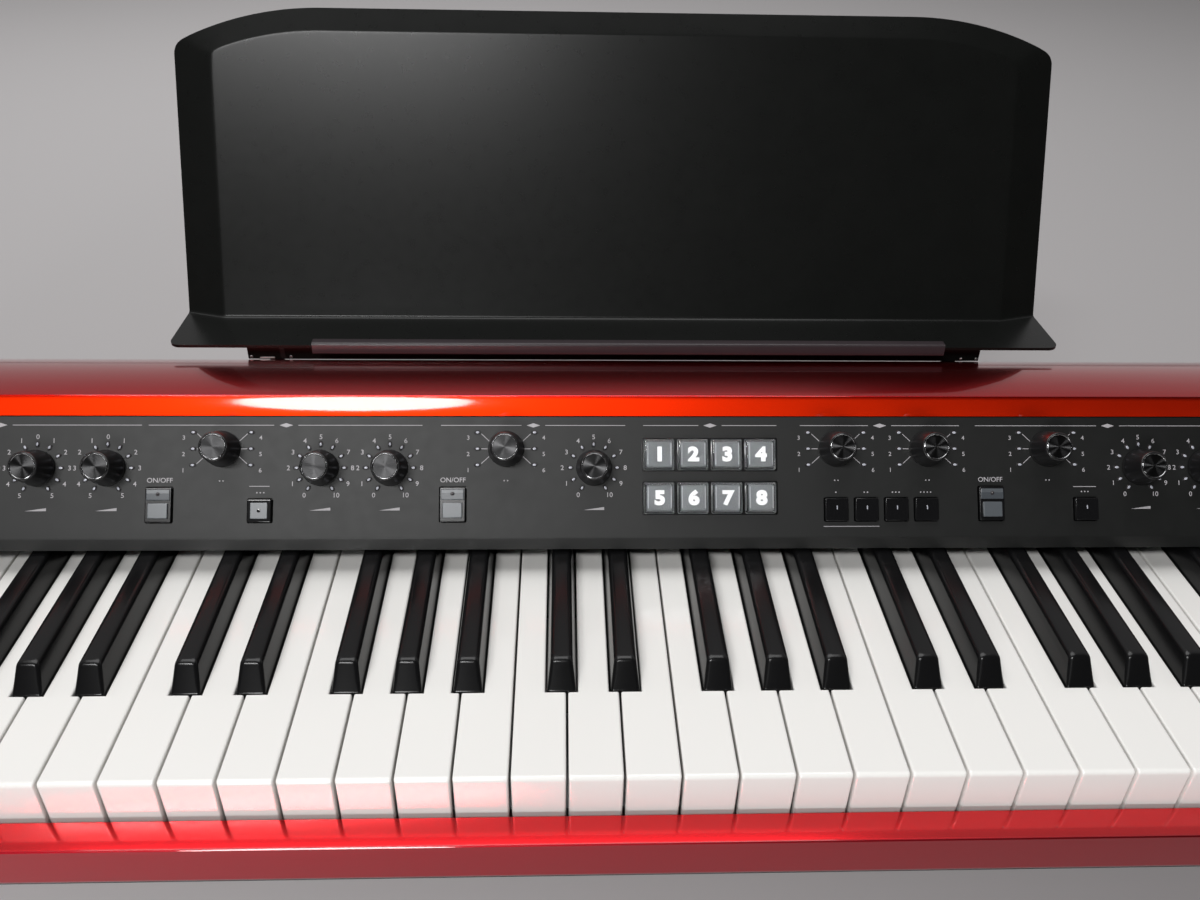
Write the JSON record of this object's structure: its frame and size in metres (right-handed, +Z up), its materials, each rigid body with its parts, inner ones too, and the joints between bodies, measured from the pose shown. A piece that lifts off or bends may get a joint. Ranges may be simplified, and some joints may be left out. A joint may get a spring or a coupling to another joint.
{
  "type": "stage piano",
  "caption": "Stage piano with weighted keys, a sloping control panel, a curved rear shell and a removable music desk.",
  "frame": {"origin": "on the floor, under the middle of the body's length and depth, so at the bounding box's bottom centre", "axes": "+X to the player's right along the keyboard, +Y from the player to the rear, +Z up"},
  "size_m": [1.143, 0.347, 0.3084],
  "materials": {
    "red_paint": "gloss metallic red lacquer over moulded plastic",
    "black_steel": "satin black powder coat",
    "black_coat": "fine-textured satin black powder coat",
    "panel_paint": "satin dark grey with thin white rules and numbers",
    "key_white": "semi-gloss white",
    "key_black": "gloss black",
    "black_plastic": "satin black",
    "smoke_plastic": "smoky translucent grey",
    "zinc_steel": "zinc-plated",
    "circuit_board": "green solder mask",
    "grey_rubber": "satin grey soft edging",
    "rubber": "matt black"
  },
  "bodies": {
    "cabinet": {"base_tray": "black_steel", "rear_panel": "black_steel", "rear_shell": "red_paint", "left_end_cheek": "red_paint", "right_end_cheek": "red_paint", "front_rail": "red_paint", "control_panel": "panel_paint", "keybed_frame": "zinc_steel", "key_contact_board": "circuit_board", "panel_board": "circuit_board", "rear_jack_board": "circuit_board", "front_left_foot": "rubber", "front_right_foot": "rubber", "rear_left_foot": "rubber", "rear_right_foot": "rubber"},
    "music_desk_unit": {"stand_bracket": "black_coat", "music_desk": "black_coat", "desk_edge_strip": "grey_rubber"},
    "white_key_d4": {"white_key_d4": "key_white"},
    "black_key_d_sharp4": {"black_key_d_sharp4": "key_black"},
    "white_key_e4": {"white_key_e4": "key_white"},
    "white_keys_low": {"white_keys_low": "key_white"},
    "white_keys_high": {"white_keys_high": "key_white"},
    "black_keys_low": {"black_keys_low": "key_black"},
    "black_keys_high": {"black_keys_high": "key_black"},
    "joystick_gimbal": {"joystick_gimbal": "black_plastic"},
    "joystick": {"joystick": "black_plastic"},
    "power_switch": {"power_switch": "black_plastic"},
    "eq_switch": {"eq_switch": "smoke_plastic"},
    "pre_effect_switch": {"pre_effect_switch": "smoke_plastic"},
    "amp_switch": {"amp_switch": "smoke_plastic"},
    "modulation_switch": {"modulation_switch": "smoke_plastic"},
    "reverb_switch": {"reverb_switch": "smoke_plastic"},
    "function_buttons": {"function_buttons": "black_plastic"},
    "auto_pedal_button": {"auto_pedal_button": "black_plastic"},
    "slow_fast_button": {"slow_fast_button": "black_plastic"},
    "favourite_button_1": {"favourite_button_1": "smoke_plastic"},
    "favourite_button_2": {"favourite_button_2": "smoke_plastic"},
    "favourite_button_3": {"favourite_button_3": "smoke_plastic"},
    "favourite_button_4": {"favourite_button_4": "smoke_plastic"},
    "favourite_button_5": {"favourite_button_5": "smoke_plastic"},
    "favourite_button_6": {"favourite_button_6": "smoke_plastic"},
    "favourite_button_7": {"favourite_button_7": "smoke_plastic"},
    "favourite_button_8": {"favourite_button_8": "smoke_plastic"},
    "volume_knob": {"volume_knob": "black_plastic"},
    "eq_bass_knob": {"eq_bass_knob": "black_plastic"},
    "eq_mid_knob": {"eq_mid_knob": "black_plastic"},
    "eq_treble_knob": {"eq_treble_knob": "black_plastic"},
    "pre_effect_type_knob": {"pre_effect_type_knob": "black_plastic"},
    "pre_effect_speed_knob": {"pre_effect_speed_knob": "black_plastic"},
    "pre_effect_intensity_knob": {"pre_effect_intensity_knob": "black_plastic"},
    "amp_type_knob": {"amp_type_knob": "black_plastic"},
    "amp_drive_knob": {"amp_drive_knob": "black_plastic"},
    "sound_type_knob": {"sound_type_knob": "black_plastic"},
    "sound_variation_knob": {"sound_variation_knob": "black_plastic"},
    "modulation_type_knob": {"modulation_type_knob": "black_plastic"},
    "modulation_speed_knob": {"modulation_speed_knob": "black_plastic"},
    "modulation_intensity_knob": {"modulation_intensity_knob": "black_plastic"},
    "reverb_type_knob": {"reverb_type_knob": "black_plastic"},
    "reverb_depth_knob": {"reverb_depth_knob": "black_plastic"}
  },
  "joints": [
    {"name": "music_desk_lift", "type": "slide", "parent": "cabinet", "child": "music_desk_unit", "axis": [0, 0, 1], "range_m": [0, 0.03]},
    {"name": "white_key_d4_press", "type": "hinge", "parent": "cabinet", "child": "white_key_d4", "pos_m": [0, 0.0675, 0.054], "axis": [1, 0, 0], "range_deg": [0, 2.58], "stiffness_Nm_per_rad": 0.5, "springref_deg": -20.63},
    {"name": "black_key_d_sharp4_press", "type": "hinge", "parent": "cabinet", "child": "black_key_d_sharp4", "pos_m": [0, 0.0675, 0.054], "axis": [1, 0, 0], "range_deg": [0, 2.58], "stiffness_Nm_per_rad": 0.5, "springref_deg": -20.63},
    {"name": "white_key_e4_press", "type": "hinge", "parent": "cabinet", "child": "white_key_e4", "pos_m": [0, 0.0675, 0.054], "axis": [1, 0, 0], "range_deg": [0, 2.58], "stiffness_Nm_per_rad": 0.5, "springref_deg": -20.63},
    {"name": "white_keys_low_press", "type": "hinge", "parent": "cabinet", "child": "white_keys_low", "pos_m": [0, 0.0675, 0.054], "axis": [1, 0, 0], "range_deg": [0, 2.58], "stiffness_Nm_per_rad": 10, "springref_deg": -20.63},
    {"name": "white_keys_high_press", "type": "hinge", "parent": "cabinet", "child": "white_keys_high", "pos_m": [0, 0.0675, 0.054], "axis": [1, 0, 0], "range_deg": [0, 2.58], "stiffness_Nm_per_rad": 10.5, "springref_deg": -20.63},
    {"name": "black_keys_low_press", "type": "hinge", "parent": "cabinet", "child": "black_keys_low", "pos_m": [0, 0.0675, 0.054], "axis": [1, 0, 0], "range_deg": [0, 2.58], "stiffness_Nm_per_rad": 7, "springref_deg": -20.63},
    {"name": "black_keys_high_press", "type": "hinge", "parent": "cabinet", "child": "black_keys_high", "pos_m": [0, 0.0675, 0.054], "axis": [1, 0, 0], "range_deg": [0, 2.58], "stiffness_Nm_per_rad": 7.5, "springref_deg": -20.63},
    {"name": "joystick_forward_back", "type": "hinge", "parent": "cabinet", "child": "joystick_gimbal", "pos_m": [-0.455, 0.00374, 0.11264], "axis": [1, 0, 0], "range_deg": [-18, 18], "stiffness_Nm_per_rad": 0.3},
    {"name": "joystick_left_right", "type": "hinge", "parent": "joystick_gimbal", "child": "joystick", "pos_m": [-0.455, 0.00374, 0.11264], "axis": [0, 0.6018, 0.7986], "range_deg": [-18, 18], "stiffness_Nm_per_rad": 0.3},
    {"name": "power_switch_rock", "type": "hinge", "parent": "cabinet", "child": "power_switch", "pos_m": [-0.44, 0.1677, 0.035], "axis": [-1, 0, 0], "range_deg": [0, 14]},
    {"name": "eq_switch_press", "type": "slide", "parent": "cabinet", "child": "eq_switch", "axis": [0, 0.7986, -0.6018], "range_m": [0, 0.001], "stiffness_N_per_m": 500, "springref_m": -0.002},
    {"name": "pre_effect_switch_press", "type": "slide", "parent": "cabinet", "child": "pre_effect_switch", "axis": [0, 0.7986, -0.6018], "range_m": [0, 0.001], "stiffness_N_per_m": 500, "springref_m": -0.002},
    {"name": "amp_switch_press", "type": "slide", "parent": "cabinet", "child": "amp_switch", "axis": [0, 0.7986, -0.6018], "range_m": [0, 0.001], "stiffness_N_per_m": 500, "springref_m": -0.002},
    {"name": "modulation_switch_press", "type": "slide", "parent": "cabinet", "child": "modulation_switch", "axis": [0, 0.7986, -0.6018], "range_m": [0, 0.001], "stiffness_N_per_m": 500, "springref_m": -0.002},
    {"name": "reverb_switch_press", "type": "slide", "parent": "cabinet", "child": "reverb_switch", "axis": [0, 0.7986, -0.6018], "range_m": [0, 0.001], "stiffness_N_per_m": 500, "springref_m": -0.002},
    {"name": "function_buttons_press", "type": "slide", "parent": "cabinet", "child": "function_buttons", "axis": [0, 0.7986, -0.6018], "range_m": [0, 0.001], "stiffness_N_per_m": 500, "springref_m": -0.002},
    {"name": "auto_pedal_button_press", "type": "slide", "parent": "cabinet", "child": "auto_pedal_button", "axis": [0, 0.7986, -0.6018], "range_m": [0, 0.001], "stiffness_N_per_m": 500, "springref_m": -0.002},
    {"name": "slow_fast_button_press", "type": "slide", "parent": "cabinet", "child": "slow_fast_button", "axis": [0, 0.7986, -0.6018], "range_m": [0, 0.001], "stiffness_N_per_m": 500, "springref_m": -0.002},
    {"name": "favourite_button_1_press", "type": "slide", "parent": "cabinet", "child": "favourite_button_1", "axis": [0, 0.7986, -0.6018], "range_m": [0, 0.001], "stiffness_N_per_m": 500, "springref_m": -0.002},
    {"name": "favourite_button_2_press", "type": "slide", "parent": "cabinet", "child": "favourite_button_2", "axis": [0, 0.7986, -0.6018], "range_m": [0, 0.001], "stiffness_N_per_m": 500, "springref_m": -0.002},
    {"name": "favourite_button_3_press", "type": "slide", "parent": "cabinet", "child": "favourite_button_3", "axis": [0, 0.7986, -0.6018], "range_m": [0, 0.001], "stiffness_N_per_m": 500, "springref_m": -0.002},
    {"name": "favourite_button_4_press", "type": "slide", "parent": "cabinet", "child": "favourite_button_4", "axis": [0, 0.7986, -0.6018], "range_m": [0, 0.001], "stiffness_N_per_m": 500, "springref_m": -0.002},
    {"name": "favourite_button_5_press", "type": "slide", "parent": "cabinet", "child": "favourite_button_5", "axis": [0, 0.7986, -0.6018], "range_m": [0, 0.001], "stiffness_N_per_m": 500, "springref_m": -0.002},
    {"name": "favourite_button_6_press", "type": "slide", "parent": "cabinet", "child": "favourite_button_6", "axis": [0, 0.7986, -0.6018], "range_m": [0, 0.001], "stiffness_N_per_m": 500, "springref_m": -0.002},
    {"name": "favourite_button_7_press", "type": "slide", "parent": "cabinet", "child": "favourite_button_7", "axis": [0, 0.7986, -0.6018], "range_m": [0, 0.001], "stiffness_N_per_m": 500, "springref_m": -0.002},
    {"name": "favourite_button_8_press", "type": "slide", "parent": "cabinet", "child": "favourite_button_8", "axis": [0, 0.7986, -0.6018], "range_m": [0, 0.001], "stiffness_N_per_m": 500, "springref_m": -0.002},
    {"name": "volume_knob_turn", "type": "hinge", "parent": "cabinet", "child": "volume_knob", "pos_m": [-0.4, -0.00032, 0.12221], "axis": [0, -0.7986, 0.6018], "range_deg": [-150, 150]},
    {"name": "eq_bass_knob_turn", "type": "hinge", "parent": "cabinet", "child": "eq_bass_knob", "pos_m": [-0.3318, -0.00032, 0.12221], "axis": [0, -0.7986, 0.6018], "continuous": true},
    {"name": "eq_mid_knob_turn", "type": "hinge", "parent": "cabinet", "child": "eq_mid_knob", "pos_m": [-0.2974, -0.00032, 0.12221], "axis": [0, -0.7986, 0.6018], "continuous": true},
    {"name": "eq_treble_knob_turn", "type": "hinge", "parent": "cabinet", "child": "eq_treble_knob", "pos_m": [-0.2631, -0.00032, 0.12221], "axis": [0, -0.7986, 0.6018], "continuous": true},
    {"name": "pre_effect_type_knob_turn", "type": "hinge", "parent": "cabinet", "child": "pre_effect_type_knob", "pos_m": [-0.207, 0.0054, 0.1298], "axis": [0, -0.7986, 0.6018], "continuous": true},
    {"name": "pre_effect_speed_knob_turn", "type": "hinge", "parent": "cabinet", "child": "pre_effect_speed_knob", "pos_m": [-0.1582, -0.00032, 0.12221], "axis": [0, -0.7986, 0.6018], "continuous": true},
    {"name": "pre_effect_intensity_knob_turn", "type": "hinge", "parent": "cabinet", "child": "pre_effect_intensity_knob", "pos_m": [-0.1238, -0.00032, 0.12221], "axis": [0, -0.7986, 0.6018], "continuous": true},
    {"name": "amp_type_knob_turn", "type": "hinge", "parent": "cabinet", "child": "amp_type_knob", "pos_m": [-0.0657, 0.0054, 0.1298], "axis": [0, -0.7986, 0.6018], "continuous": true},
    {"name": "amp_drive_knob_turn", "type": "hinge", "parent": "cabinet", "child": "amp_drive_knob", "pos_m": [-0.0215, -0.00032, 0.12221], "axis": [0, -0.7986, 0.6018], "continuous": true},
    {"name": "sound_type_knob_turn", "type": "hinge", "parent": "cabinet", "child": "sound_type_knob", "pos_m": [0.102, 0.0054, 0.1298], "axis": [0, -0.7986, 0.6018], "continuous": true},
    {"name": "sound_variation_knob_turn", "type": "hinge", "parent": "cabinet", "child": "sound_variation_knob", "pos_m": [0.1489, 0.0054, 0.1298], "axis": [0, -0.7986, 0.6018], "continuous": true},
    {"name": "modulation_type_knob_turn", "type": "hinge", "parent": "cabinet", "child": "modulation_type_knob", "pos_m": [0.2112, 0.0054, 0.1298], "axis": [0, -0.7986, 0.6018], "continuous": true},
    {"name": "modulation_speed_knob_turn", "type": "hinge", "parent": "cabinet", "child": "modulation_speed_knob", "pos_m": [0.2593, -0.00032, 0.12221], "axis": [0, -0.7986, 0.6018], "continuous": true},
    {"name": "modulation_intensity_knob_turn", "type": "hinge", "parent": "cabinet", "child": "modulation_intensity_knob", "pos_m": [0.2937, -0.00032, 0.12221], "axis": [0, -0.7986, 0.6018], "continuous": true},
    {"name": "reverb_type_knob_turn", "type": "hinge", "parent": "cabinet", "child": "reverb_type_knob", "pos_m": [0.358, 0.0054, 0.1298], "axis": [0, -0.7986, 0.6018], "continuous": true},
    {"name": "reverb_depth_knob_turn", "type": "hinge", "parent": "cabinet", "child": "reverb_depth_knob", "pos_m": [0.402, -0.00032, 0.12221], "axis": [0, -0.7986, 0.6018], "continuous": true}
  ]
}
